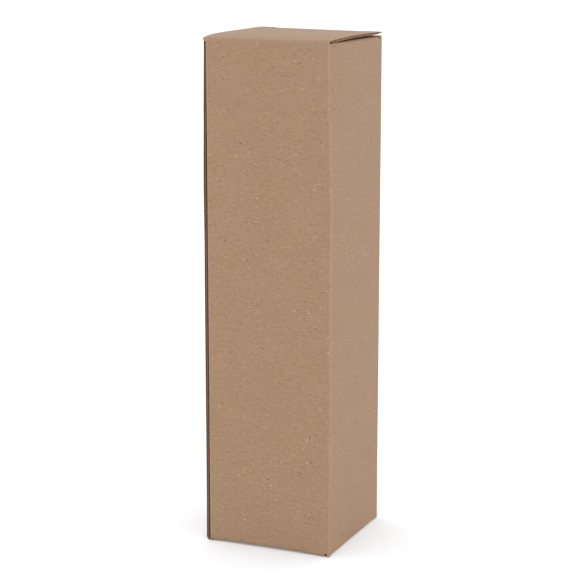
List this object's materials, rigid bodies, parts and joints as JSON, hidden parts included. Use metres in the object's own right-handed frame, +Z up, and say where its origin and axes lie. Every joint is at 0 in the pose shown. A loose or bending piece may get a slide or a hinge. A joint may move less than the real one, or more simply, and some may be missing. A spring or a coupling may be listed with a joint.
{
  "type": "cardboard bottle box",
  "caption": "Tall square corrugated cardboard carton with a hinged tuck lid, glued corner seam, dust flaps and a snap-lock bottom.",
  "frame": {"origin": "centre of the footprint, on the floor that the box stands on", "axes": "+Z up along the box, +Y towards the back panel that the lid tucks behind, +X to the right of the front panel; the glued seam is at the front left corner"},
  "size_m": [0.085, 0.085, 0.3254],
  "materials": {
    "kraft_board": "matt unbleached kraft liner on fine corrugated board"
  },
  "bodies": {
    "carton": {"carton": "kraft_board"},
    "lid": {"lid": "kraft_board"}
  },
  "joints": [
    {"name": "lid_fold", "type": "hinge", "parent": "carton", "child": "lid", "pos_m": [0, -0.0418, 0.3228], "axis": [1, 0, 0], "range_deg": [0, 175]}
  ]
}
